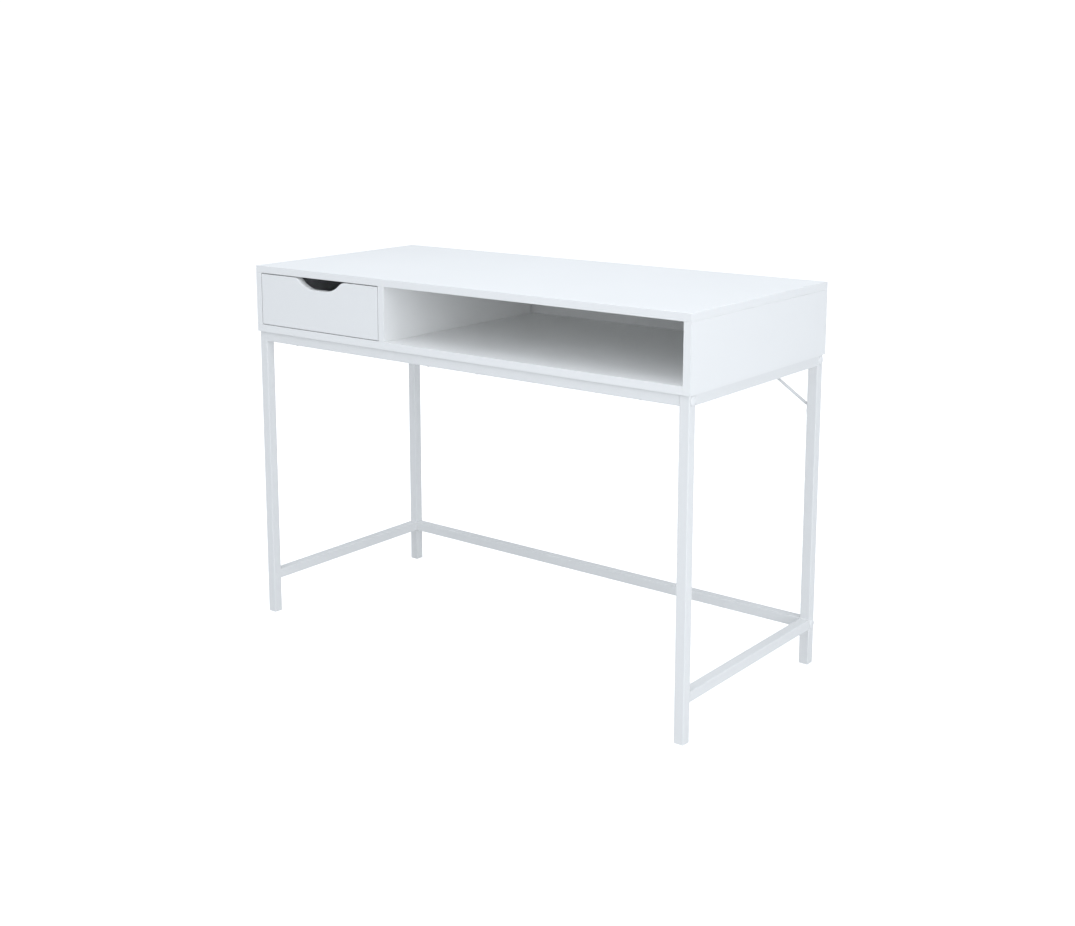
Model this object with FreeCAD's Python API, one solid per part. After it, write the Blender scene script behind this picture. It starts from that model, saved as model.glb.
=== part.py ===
"""Writing desk: a white board cabinet with one drawer and an open shelf, on a square-tube steel frame.

Row frame, in millimetres: X runs from the drawer end (-) to the open end (+), Y from the sitter (-) to
the wall (+), Z up. The origin is on the floor, under the middle of the worktop.
"""

import FreeCAD, Part
import math
import os

from FreeCAD import Vector

# ---- driving dimensions: the whole desk ----
WIDTH = 1050.0
DEPTH = 480.0
HEIGHT = 750.0
BOARD = 15.0
CABINET_HEIGHT = 138.0
EDGE_RADIUS = 0.8
SHARP_EDGE_RADIUS = 0.4

# ---- driving dimensions: the drawer bay ----
DRAWER_BAY_WIDTH = 332.5
FRONT_SIDE_GAP = 2.0
FRONT_TOP_GAP = 2.0
FRONT_BOTTOM_GAP = 1.5
NOTCH_SHIFT = 4.0
NOTCH_TOP_WIDTH = 127.8
NOTCH_BOTTOM_WIDTH = 75.6
NOTCH_DEPTH = 21.7
NOTCH_FLOOR_RADIUS = 54.0
NOTCH_SHOULDER_RADIUS = 20.0
DRAWER_BOARD = 12.0
DRAWER_LENGTH = 350.0
DRAWER_SIDE_HEIGHT = 70.0
DRAWER_LIFT = 13.0
DRAWER_BOTTOM = 3.0
GROOVE_DEPTH = 5.0
GROOVE_PLAY = 0.1
GROOVE_HEIGHT = 13.0

# ---- driving dimensions: the steel frame ----
TUBE = 20.0
TUBE_WALL = 1.2
TUBE_RADIUS = 1.6
FRAME_INSET = 3.5
STRETCHER_BOTTOM = 72.0
FOOT_FLANGE = 3.0
FOOT_PLUG = 16.0
CAP_RADIUS = 8.5
CAP_HEIGHT = 3.0

# ---- driving dimensions: fittings ----
CAM_RADIUS = 7.5
CAM_SETBACK = 24.0
DOWEL_RADIUS = 4.0
DOWEL_LENGTH = 28.0
HOLE_PLAY = 0.05
SHEET = 1.2
RUNNER_HEIGHT = 19.1
RUNNER_GAP = 12.5
ROLLER_RADIUS = 8.0
ROLLER_BORE_PLAY = 0.06

# ---- worked out from them ----
HALF_WIDTH = WIDTH / 2
HALF_DEPTH = DEPTH / 2
FRONT = -HALF_DEPTH
BACK = HALF_DEPTH
CABINET_BOTTOM = HEIGHT - CABINET_HEIGHT
BAY_BOTTOM = CABINET_BOTTOM + BOARD
BAY_TOP = HEIGHT - BOARD
SIDE_INNER = HALF_WIDTH - BOARD
DIVIDER_LEFT = -SIDE_INNER + DRAWER_BAY_WIDTH
DIVIDER_RIGHT = DIVIDER_LEFT + BOARD
BACK_PANEL_FRONT = BACK - BOARD

LEG_OUTER = HALF_WIDTH - FRAME_INSET
LEG_INNER = LEG_OUTER - TUBE
LEG_CENTRE = LEG_OUTER - TUBE / 2
FRAME_OUTER_Y = HALF_DEPTH - FRAME_INSET
FRAME_INNER_Y = FRAME_OUTER_Y - TUBE
FRAME_CENTRE_Y = FRAME_OUTER_Y - TUBE / 2
RAIL_BOTTOM = CABINET_BOTTOM - TUBE
RAIL_CENTRE_Z = CABINET_BOTTOM - TUBE / 2
STRETCHER_CENTRE_Z = STRETCHER_BOTTOM + TUBE / 2

DRAWER_FRONT_LEFT = -SIDE_INNER + FRONT_SIDE_GAP
DRAWER_FRONT_RIGHT = DIVIDER_LEFT - FRONT_SIDE_GAP
DRAWER_FRONT_BOTTOM = BAY_BOTTOM + FRONT_BOTTOM_GAP
DRAWER_FRONT_TOP = BAY_TOP - FRONT_TOP_GAP
DRAWER_CENTRE_X = (DRAWER_FRONT_LEFT + DRAWER_FRONT_RIGHT) / 2
NOTCH_CENTRE_X = DRAWER_CENTRE_X + NOTCH_SHIFT
DRAWER_HALF = DRAWER_BAY_WIDTH / 2 - RUNNER_GAP
DRAWER_BASE = BAY_BOTTOM + DRAWER_LIFT
DRAWER_BOX_FRONT = FRONT + BOARD
DRAWER_BOX_BACK = DRAWER_BOX_FRONT + DRAWER_LENGTH
DRAWER_FLOOR = DRAWER_BASE + GROOVE_HEIGHT + GROOVE_PLAY

X_AXIS = Vector(1, 0, 0)
Y_AXIS = Vector(0, 1, 0)
Z_AXIS = Vector(0, 0, 1)

cutters = {}
groups = {}
solids = {}


# ---- small helpers ----
def block(x0, x1, y0, y1, z0, z1):
    """Box between two corners, given in any order along each axis."""
    low = Vector(min(x0, x1), min(y0, y1), min(z0, z1))
    return Part.makeBox(abs(x1 - x0), abs(y1 - y0), abs(z1 - z0), low)


def rod(radius, length, start, direction):
    """Round bar from start along direction."""
    return Part.makeCylinder(radius, length, start, direction)


def placed(shape, origin, x_dir, z_dir):
    """Shape made about its own origin, moved so that its X and Z axes lie along x_dir and z_dir."""
    turn = FreeCAD.Rotation(x_dir, z_dir.cross(x_dir), z_dir, "ZXY")
    moved = shape.copy()
    moved.Placement = FreeCAD.Placement(origin, turn)
    return moved


def turned_profile(points):
    """Solid of revolution about Z from (radius, height) points that start and end on the axis."""
    corners = [Vector(r, 0, z) for r, z in points]
    face = Part.Face(Part.makePolygon(corners + [corners[0]]))
    return face.revolve(Vector(0, 0, 0), Z_AXIS, 360)


def cut_later(node, cutter):
    """Remember a hole, groove or pocket for a node that is saved at the end."""
    cutters.setdefault(node, []).append(cutter)


def add_to_group(node, solid):
    """Remember one of a set of alike fittings that share a node."""
    groups.setdefault(node, []).append(solid)


def save(node, shape):
    """Write one node as a STEP file."""
    shape.exportStep(f"parts/{node}.step")


def mirrored(shape):
    """Copy of a shape on the other side of the desk's middle plane."""
    return shape.mirror(Vector(0, 0, 0), X_AXIS)


# ---- fittings ----
def screw(length, shank_radius, head_radius, head_height, countersunk=False):
    """Wood screw along +Z with its head below Z = 0, or sunk above it when countersunk."""
    recess = Part.makeBox(head_radius * 0.9, 0.7, 0.9 * head_height)
    recess.translate(Vector(-head_radius * 0.45, -0.35, 0))
    cross = recess.fuse(placed(recess, Vector(0, 0, 0), Y_AXIS, Z_AXIS))
    if countersunk:
        profile = [
            (0, 0),
            (head_radius, 0),
            (shank_radius, head_height),
            (shank_radius, length - 3),
            (0, length),
        ]
        return turned_profile(profile).cut(cross)
    profile = [
        (0, -head_height),
        (head_radius * 0.6, -head_height),
        (head_radius, -head_height * 0.45),
        (head_radius, 0),
        (shank_radius, 0),
        (shank_radius, length - 3),
        (0, length),
    ]
    cross.translate(Vector(0, 0, -head_height))
    return turned_profile(profile).cut(cross)


def screw_hole(length, shank_radius, head_radius=0.0, head_height=0.0):
    """Hole that a screw fills, with a countersink when a head size is given."""
    radius = shank_radius + HOLE_PLAY
    hole = Part.makeCylinder(radius, length + HOLE_PLAY)
    if head_radius:
        sink = Part.makeCone(head_radius + HOLE_PLAY, radius, head_height)
        hole = hole.fuse(sink)
    return hole


def dowel(first, second, centre, direction, into_first):
    """Glued dowel across a joint: into_first of it goes back into the first board."""
    length = DOWEL_LENGTH
    start = centre - direction * into_first
    pin = rod(DOWEL_RADIUS, length, start, direction)
    pin = pin.makeChamfer(0.8, pin.Edges)
    add_to_group("drawer_dowels" if first.startswith("drawer") else "cabinet_dowels", pin)
    hole = rod(DOWEL_RADIUS + HOLE_PLAY, length + 1.0, start - direction * 0.5, direction)
    cut_later(first, hole)
    cut_later(second, hole)


def cam_joint(holder, mate, centre, into, face, board=BOARD, bolt_depth=10.5):
    """Cam lock in the holder board and its bolt in the mate.

    centre lies on the joint in the middle of the holder's edge, into points into the holder, and face
    points to the holder's side that the cam is fitted from.
    """
    prefix = "drawer_" if holder.startswith("drawer") else ""
    depth = board - 2.5
    cam_centre = centre + into * CAM_SETBACK
    mouth = cam_centre + face * (board / 2)
    cut_later(holder, rod(CAM_RADIUS, depth, mouth, -face))
    cut_later(holder, rod(DOWEL_RADIUS, CAM_SETBACK, centre, into))
    cut_later(mate, rod(2.5, bolt_depth + 0.5, centre, -into))

    cam = Part.makeCylinder(CAM_RADIUS - 0.1, depth - 0.4, Vector(0, 0, 0.2 - depth))
    throat = rod(3.7, CAM_RADIUS + 4.0, Vector(4.0, 0, -board / 2), -X_AXIS)
    slot = Part.makeBox(9.0, 1.4, 2.0, Vector(-4.5, -0.7, -1.8))
    cross_slot = Part.makeBox(1.4, 9.0, 2.0, Vector(-0.7, -4.5, -1.8))
    cam = cam.cut(throat).cut(slot).cut(cross_slot)
    add_to_group(prefix + "cam_locks", placed(cam, mouth, into, face))

    thread = Part.makeCylinder(2.4, bolt_depth, Vector(0, 0, -bolt_depth))
    stem = Part.makeCylinder(2.0, CAM_SETBACK - 1.0)
    head = Part.makeCylinder(3.2, 3.4, Vector(0, 0, CAM_SETBACK - 2.0))
    bolt = thread.fuse([stem, head]).removeSplitter()
    add_to_group(prefix + "cam_bolts", placed(bolt, centre, face, into))


# ---- the board cabinet ----
def panel(node, x0, x1, y0, y1, z0, z1, radius=EDGE_RADIUS):
    """Faced board with softly rounded edges."""
    board = block(x0, x1, y0, y1, z0, z1)
    if radius:
        board = board.makeFillet(radius, board.Edges)
    solids[node] = board


def build_cabinet():
    """Six boards of the cabinet and the fittings that hold them together."""
    panel("top_panel", -HALF_WIDTH, HALF_WIDTH, FRONT, BACK, BAY_TOP, HEIGHT)
    sharp = SHARP_EDGE_RADIUS
    panel("left_side_panel", -HALF_WIDTH, -SIDE_INNER, FRONT, BACK, CABINET_BOTTOM, BAY_TOP, sharp)
    panel("right_side_panel", SIDE_INNER, HALF_WIDTH, FRONT, BACK, CABINET_BOTTOM, BAY_TOP, sharp)
    panel("bottom_panel", -SIDE_INNER, SIDE_INNER, FRONT, BACK, CABINET_BOTTOM, BAY_BOTTOM, sharp)
    panel("divider_panel", DIVIDER_LEFT, DIVIDER_RIGHT, FRONT, BACK_PANEL_FRONT, BAY_BOTTOM, BAY_TOP, sharp)
    panel("back_panel", -SIDE_INNER, SIDE_INNER, BACK_PANEL_FRONT, BACK, BAY_BOTTOM, BAY_TOP, sharp)

    cam_row = 150.0
    dowel_row = 195.0
    bottom_middle = CABINET_BOTTOM + BOARD / 2
    side_middle = HALF_WIDTH - BOARD / 2
    back_middle = BACK - BOARD / 2
    for side, name in ((-1, "left_side_panel"), (1, "right_side_panel")):
        inward = X_AXIS * -side
        for y in (-cam_row, cam_row):
            cam_joint("bottom_panel", name, Vector(side * SIDE_INNER, y, bottom_middle), inward, -Z_AXIS)
            cam_joint(name, "top_panel", Vector(side * side_middle, y, BAY_TOP), -Z_AXIS, inward)
        for y in (-dowel_row, dowel_row):
            dowel(name, "bottom_panel", Vector(side * SIDE_INNER, y, bottom_middle), inward, 10.0)
            dowel("top_panel", name, Vector(side * side_middle, y, BAY_TOP), -Z_AXIS, 9.5)
        back_joint = Vector(side * SIDE_INNER, back_middle, (BAY_BOTTOM + BAY_TOP) / 2)
        cam_joint("back_panel", name, back_joint, inward, Y_AXIS)

    divider_middle = (DIVIDER_LEFT + DIVIDER_RIGHT) / 2
    for y in (-170.0, 150.0):
        dowel("top_panel", "divider_panel", Vector(divider_middle, y, BAY_TOP), -Z_AXIS, 9.5)
        start = Vector(divider_middle, y + 20.0, CABINET_BOTTOM)
        add_to_group("divider_screws", placed(screw(45.0, 2.0, 4.0, 2.6, True), start, X_AXIS, Z_AXIS))
        hole = placed(screw_hole(45.0, 2.0, 4.0, 2.6), start, X_AXIS, Z_AXIS)
        cut_later("bottom_panel", hole)
        cut_later("divider_panel", hole)
    for x in (-340.0, 20.0, 340.0):
        dowel("bottom_panel", "back_panel", Vector(x, back_middle, BAY_BOTTOM), Z_AXIS, 9.5)
        dowel("top_panel", "back_panel", Vector(x, back_middle, BAY_TOP), -Z_AXIS, 9.5)


# ---- the steel frame ----
def rounded_square(size, radius, length):
    """Square bar with rounded long edges, along +Z from the origin and centred on it."""
    bar = Part.makeBox(size, size, length, Vector(-size / 2, -size / 2, 0))
    long_edges = [e for e in bar.Edges if abs(e.tangentAt(e.FirstParameter).z) > 0.5]
    return bar.makeFillet(radius, long_edges)


def tube(length, start, direction):
    """Square steel tube from start along direction."""
    outside = rounded_square(TUBE, TUBE_RADIUS, length)
    inside = rounded_square(TUBE - 2 * TUBE_WALL, TUBE_RADIUS / 2, length)
    across = Y_AXIS if abs(direction.x) > 0.5 else X_AXIS
    return placed(outside.cut(inside), start, across, direction)


def foot():
    """Plastic insert foot with its flange on the floor and its plug up inside the leg."""
    flange = rounded_square(TUBE, TUBE_RADIUS, FOOT_FLANGE)
    rim = [e for e in flange.Edges if e.BoundBox.ZMax < 0.01]
    flange = flange.makeFillet(0.8, rim)
    plug_size = TUBE - 2 * TUBE_WALL - 0.2
    plug = rounded_square(plug_size, TUBE_RADIUS / 2, FOOT_PLUG)
    hollow = rounded_square(plug_size - 4.0, 0.5, FOOT_PLUG)
    plug = plug.cut(hollow)
    plug.translate(Vector(0, 0, FOOT_FLANGE))
    return flange.fuse(plug).removeSplitter()


def bolt_cap():
    """Domed push-in cap: its dome stands out along +Z and its hollow stem goes back into the tube."""
    rim_height = 0.7
    dome_rise = CAP_HEIGHT - rim_height
    sphere_radius = (CAP_RADIUS**2 + dome_rise**2) / (2 * dome_rise)
    half_angle = math.asin(CAP_RADIUS / sphere_radius) / 2
    middle = Vector(
        sphere_radius * math.sin(half_angle), 0, CAP_HEIGHT - sphere_radius * (1 - math.cos(half_angle))
    )
    top = Vector(0, 0, CAP_HEIGHT)
    rim = Vector(CAP_RADIUS, 0, rim_height)
    edges = [
        Part.LineSegment(Vector(0, 0, 0), Vector(CAP_RADIUS, 0, 0)).toShape(),
        Part.LineSegment(Vector(CAP_RADIUS, 0, 0), rim).toShape(),
        Part.Arc(rim, middle, top).toShape(),
        Part.LineSegment(top, Vector(0, 0, 0)).toShape(),
    ]
    dome = Part.Face(Part.Wire(edges)).revolve(Vector(0, 0, 0), Z_AXIS, 360)
    stem_foot = Vector(0, 0, -5.0)
    stem = Part.makeCylinder(5.8, 5.0, stem_foot).cut(Part.makeCylinder(4.8, 5.0, stem_foot))
    return dome.fuse(stem).removeSplitter()


def frame_bolt():
    """Button-head machine bolt with its head on Z = 0 and its shank along -Z."""
    head_radius = 5.25
    head = turned_profile([(0, 0), (head_radius, 0), (head_radius, 1.2), (3.2, 3.3), (0, 3.3)])
    corners = [Vector(2.3, 0, 1.4)]
    for number in range(1, 7):
        angle = math.radians(60 * number)
        corners.append(Vector(2.3 * math.cos(angle), 2.3 * math.sin(angle), 1.4))
    socket = Part.Face(Part.makePolygon(corners)).extrude(Vector(0, 0, 3.0))
    shank = Part.makeCylinder(2.95, 13.0, Vector(0, 0, -13.0))
    return head.cut(socket).fuse(shank).removeSplitter()


def bolt_joint(side, leg, y, z):
    """Bolt from outside a leg into the end plate of a cross rail, with its access hole and its cap."""
    outward = X_AXIS * side
    outer_face = Vector(side * LEG_OUTER, y, z)
    seat = Vector(side * (LEG_INNER + TUBE_WALL), y, z)
    rail_end = Vector(side * LEG_INNER, y, z)
    cut_later(leg, rod(6.0, TUBE_WALL + 1.0, outer_face + outward * 0.5, -outward))
    cut_later(leg, rod(3.25, TUBE_WALL + 1.0, seat + outward * 0.5, -outward))
    add_to_group("frame_bolts", placed(frame_bolt(), seat, Y_AXIS, outward))
    add_to_group("bolt_caps", placed(bolt_cap(), outer_face, Y_AXIS, outward))
    plate = rounded_square(TUBE - 2 * TUBE_WALL - 0.1, TUBE_RADIUS / 2, 6.0)
    plate = plate.cut(Part.makeCylinder(3.0, 6.0))
    add_to_group("rail_end_nuts", placed(plate, rail_end, Y_AXIS, -outward))


def build_frame():
    """Legs, welded side rails, bolted cross rails, feet and braces."""
    leg_bottom = FOOT_FLANGE
    leg_length = CABINET_BOTTOM - leg_bottom
    for side, hand in ((-1, "left"), (1, "right")):
        for depth, place in ((-1, "front"), (1, "rear")):
            x = side * LEG_CENTRE
            y = depth * FRAME_CENTRE_Y
            leg = f"{place}_{hand}_leg"
            solids[leg] = tube(leg_length, Vector(x, y, leg_bottom), Z_AXIS)
            solids[f"{place}_{hand}_foot"] = placed(foot(), Vector(x, y, 0), X_AXIS, Z_AXIS)
            bolt_joint(side, leg, y, RAIL_CENTRE_Z)
            if place == "rear":
                bolt_joint(side, leg, y, STRETCHER_CENTRE_Z)
        x = side * LEG_CENTRE
        side_length = 2 * FRAME_INNER_Y
        solids[f"{hand}_side_rail"] = tube(side_length, Vector(x, -FRAME_INNER_Y, RAIL_CENTRE_Z), Y_AXIS)
        solids[f"{hand}_stretcher"] = tube(side_length, Vector(x, -FRAME_INNER_Y, STRETCHER_CENTRE_Z), Y_AXIS)

    cross_length = 2 * LEG_INNER
    solids["front_rail"] = tube(cross_length, Vector(-LEG_INNER, -FRAME_CENTRE_Y, RAIL_CENTRE_Z), X_AXIS)
    solids["rear_rail"] = tube(cross_length, Vector(-LEG_INNER, FRAME_CENTRE_Y, RAIL_CENTRE_Z), X_AXIS)
    low_rear = Vector(-LEG_INNER, FRAME_CENTRE_Y, STRETCHER_CENTRE_Z)
    solids["rear_stretcher"] = tube(cross_length, low_rear, X_AXIS)

    screw_length = TUBE + 11.0
    for rail, y in (("front_rail", -FRAME_CENTRE_Y), ("rear_rail", FRAME_CENTRE_Y)):
        for x in (-420.0, -60.0, 60.0, 420.0):
            start = Vector(x, y, RAIL_BOTTOM)
            add_to_group("cabinet_screws", placed(screw(screw_length, 2.0, 4.5, 2.4), start, X_AXIS, Z_AXIS))
            hole = placed(screw_hole(screw_length, 2.0), start, X_AXIS, Z_AXIS)
            cut_later(rail, hole)
            cut_later("bottom_panel", hole)


def build_brace():
    """Rear corner brace on the right, a round bar with a flat tab at each end, and its mirror image."""
    bar_radius = 3.0
    tab_width = 12.0
    tab_thickness = 2.4
    tab_length = 22.0
    bend_clearance = bar_radius + 0.1
    y = FRAME_CENTRE_Y
    low_bend = Vector(LEG_INNER - bend_clearance, y, 514.0)
    high_bend = Vector(386.0, y, RAIL_BOTTOM - bend_clearance)
    run = high_bend - low_bend
    low_tab = tab(tab_length, tab_width, tab_thickness)
    low_tab = placed(low_tab, Vector(LEG_INNER, y, low_bend.z + 2.0), -Z_AXIS, -X_AXIS)
    high_tab = tab(tab_length, tab_width, tab_thickness)
    high_tab = placed(high_tab, Vector(high_bend.x + 2.0, y, RAIL_BOTTOM), -X_AXIS, -Z_AXIS)
    bar = rod(bar_radius, run.Length, low_bend, run)
    bends = [Part.makeSphere(bar_radius, bend) for bend in (low_bend, high_bend)]
    brace = bar.fuse([low_tab, high_tab] + bends).removeSplitter()

    hole_from_bend = 11.0
    low_hole = Vector(LEG_INNER - tab_thickness, y, low_bend.z - hole_from_bend)
    high_hole = Vector(high_bend.x - hole_from_bend, y, RAIL_BOTTOM - tab_thickness)
    for at, inward, steel in ((low_hole, X_AXIS, "rear_{}_leg"), (high_hole, Z_AXIS, "rear_rail")):
        hole = placed(Part.makeCylinder(2.05, 14.0), at - inward, Y_AXIS, inward)
        fastener = placed(screw(9.0, 2.0, 3.8, 2.0), at, Y_AXIS, inward)
        brace = brace.cut(hole)
        add_to_group("brace_screws", fastener)
        add_to_group("brace_screws", mirrored(fastener))
        cut_later(steel.format("right"), hole)
        cut_later(steel.format("left"), mirrored(hole))
    solids["rear_brace_right"] = brace
    solids["rear_brace_left"] = mirrored(brace)


def tab(length, width, thickness):
    """Flat tab that lies on Z = 0 and runs from the origin along +X, with its far corners rounded."""
    plate = Part.makeBox(length, width, thickness, Vector(0, -width / 2, 0))
    upright = [e for e in plate.Edges if abs(e.tangentAt(e.FirstParameter).z) > 0.5]
    far_corners = [e for e in upright if e.BoundBox.XMin > length - 0.1]
    return plate.makeFillet(4.5, far_corners)


# ---- the drawer ----
def notch_cutter():
    """Finger notch in the top edge of the drawer front: sloping ends and a flat floor, with round corners."""
    top = DRAWER_FRONT_TOP
    floor = top - NOTCH_DEPTH
    above = 10.0
    run = (NOTCH_TOP_WIDTH - NOTCH_BOTTOM_WIDTH) / 2
    reach = NOTCH_TOP_WIDTH / 2 + run * above / NOTCH_DEPTH
    corners = [
        Vector(NOTCH_CENTRE_X - reach, 0, top + above),
        Vector(NOTCH_CENTRE_X - NOTCH_BOTTOM_WIDTH / 2, 0, floor),
        Vector(NOTCH_CENTRE_X + NOTCH_BOTTOM_WIDTH / 2, 0, floor),
        Vector(NOTCH_CENTRE_X + reach, 0, top + above),
    ]
    outline = Part.Face(Part.makePolygon(corners + [corners[0]]))
    cutter = outline.extrude(Vector(0, BOARD + 2.0, 0))
    cutter.translate(Vector(0, FRONT - 1.0, 0))
    through = [e for e in cutter.Edges if abs(e.tangentAt(e.FirstParameter).y) > 0.5]
    floor_edges = [e for e in through if e.BoundBox.ZMax < floor + 0.1]
    return cutter.makeFillet(NOTCH_FLOOR_RADIUS, floor_edges)


def soften_notch_shoulders(front):
    """Round the two shoulders where the notch runs out into the top edge."""
    shoulders = []
    for edge in front.Edges:
        middle = edge.BoundBox.Center
        along_depth = abs(edge.tangentAt(edge.FirstParameter).y) > 0.9
        near_notch = abs(abs(middle.x - NOTCH_CENTRE_X) - NOTCH_TOP_WIDTH / 2) < 3.0
        if along_depth and near_notch and abs(middle.z - DRAWER_FRONT_TOP) < 1.0:
            shoulders.append(edge)
    return front.makeFillet(NOTCH_SHOULDER_RADIUS, shoulders)


def build_drawer():
    """Drawer front, box and the fittings that hold them together."""
    front = block(
        DRAWER_FRONT_LEFT, DRAWER_FRONT_RIGHT, FRONT, DRAWER_BOX_FRONT, DRAWER_FRONT_BOTTOM, DRAWER_FRONT_TOP
    )
    front = soften_notch_shoulders(front.cut(notch_cutter()))
    solids["drawer_front"] = front

    left_out = DRAWER_CENTRE_X - DRAWER_HALF
    right_out = DRAWER_CENTRE_X + DRAWER_HALF
    left_in = left_out + DRAWER_BOARD
    right_in = right_out - DRAWER_BOARD
    side_top = DRAWER_BASE + DRAWER_SIDE_HEIGHT
    sharp = SHARP_EDGE_RADIUS
    front_y, back_y = DRAWER_BOX_FRONT, DRAWER_BOX_BACK
    panel("drawer_left_side", left_out, left_in, front_y, back_y, DRAWER_BASE, side_top, sharp)
    panel("drawer_right_side", right_in, right_out, front_y, back_y, DRAWER_BASE, side_top, sharp)
    back_bottom = DRAWER_FLOOR + DRAWER_BOTTOM + GROOVE_PLAY
    back_front = DRAWER_BOX_BACK - DRAWER_BOARD
    panel("drawer_back", left_in, right_in, back_front, back_y, back_bottom, side_top, sharp)

    tongue = GROOVE_DEPTH - 0.5
    solids["drawer_bottom"] = block(
        left_in - tongue,
        right_in + tongue,
        DRAWER_BOX_FRONT - tongue,
        DRAWER_BOX_BACK - 1.0,
        DRAWER_FLOOR,
        DRAWER_FLOOR + DRAWER_BOTTOM,
    )
    groove = block(
        left_in - GROOVE_DEPTH,
        right_in + GROOVE_DEPTH,
        DRAWER_BOX_FRONT - GROOVE_DEPTH,
        DRAWER_BOX_BACK + 1.0,
        DRAWER_FLOOR - GROOVE_PLAY,
        back_bottom,
    )
    for node in ("drawer_front", "drawer_left_side", "drawer_right_side"):
        cut_later(node, groove)

    for side, node, outer in ((-1, "drawer_left_side", left_out), (1, "drawer_right_side", right_out)):
        inward = X_AXIS * -side
        middle = outer - side * DRAWER_BOARD / 2
        cam_at = Vector(middle, DRAWER_BOX_FRONT, DRAWER_BASE + 40.0)
        cam_joint(node, "drawer_front", cam_at, Y_AXIS, inward, DRAWER_BOARD)
        for height in (24.0, 57.0):
            at = Vector(middle, DRAWER_BOX_FRONT, DRAWER_BASE + height)
            dowel("drawer_front", node, at, Y_AXIS, 9.5)
        for height in (30.0, 56.0):
            start = Vector(outer, DRAWER_BOX_BACK - DRAWER_BOARD / 2, DRAWER_BASE + height)
            fastener = placed(screw(32.0, 1.75, 3.5, 2.2, True), start, Y_AXIS, inward)
            add_to_group("drawer_back_screws", fastener)
            hole = placed(screw_hole(32.0, 1.75, 3.5, 2.2), start, Y_AXIS, inward)
            cut_later(node, hole)
            cut_later("drawer_back", hole)
    for offset in (-100.0, 0.0, 100.0):
        start = Vector(DRAWER_CENTRE_X + offset, DRAWER_BOX_BACK - DRAWER_BOARD / 2, DRAWER_FLOOR)
        add_to_group("drawer_bottom_screws", placed(screw(16.0, 1.5, 3.2, 1.4), start, X_AXIS, Z_AXIS))
        hole = placed(screw_hole(16.0, 1.5), start, X_AXIS, Z_AXIS)
        cut_later("drawer_bottom", hole)
        cut_later("drawer_back", hole)


# ---- roller runners, drawn for the left side of the bay ----
def sheet_profile(points, length, start):
    """Bent sheet-steel section, given as (across, up) points, drawn out along +Y."""
    corners = [Vector(across, 0, up) for across, up in points]
    face = Part.Face(Part.makePolygon(corners + [corners[0]]))
    section = face.extrude(Vector(0, length, 0))
    section.translate(start)
    return section


def roller():
    """Nylon roller along +X from the origin, with its bore and three lightening holes."""
    width = 5.6
    wheel = rod(ROLLER_RADIUS, width, Vector(0, 0, 0), X_AXIS)
    wheel = wheel.makeChamfer(0.5, wheel.Edges)
    wheel = wheel.cut(rod(2.0 + ROLLER_BORE_PLAY, width, Vector(0, 0, 0), X_AXIS))
    for number in range(3):
        angle = math.radians(120 * number + 90)
        at = Vector(0, 4.9 * math.cos(angle), 4.9 * math.sin(angle))
        wheel = wheel.cut(rod(1.2, width, at, X_AXIS))
    return wheel


def rivet_pin(length):
    """Riveted axle along +X from the origin, with its retaining head at the far end."""
    head = rod(3.2, 0.7, Vector(length - 0.7, 0, 0), X_AXIS)
    return rod(2.0, length - 0.7, Vector(0, 0, 0), X_AXIS).fuse(head).removeSplitter()


def runner_screw(length):
    """Flat-headed screw through a runner's web: its head stands up along +Z."""
    head = Part.makeCylinder(3.0, 0.7)
    slot = Part.makeBox(4.0, 0.8, 0.4, Vector(-2.0, -0.4, 0.4))
    shank = Part.makeCylinder(1.7, length, Vector(0, 0, -length))
    return head.cut(slot).fuse(shank).removeSplitter()


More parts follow.
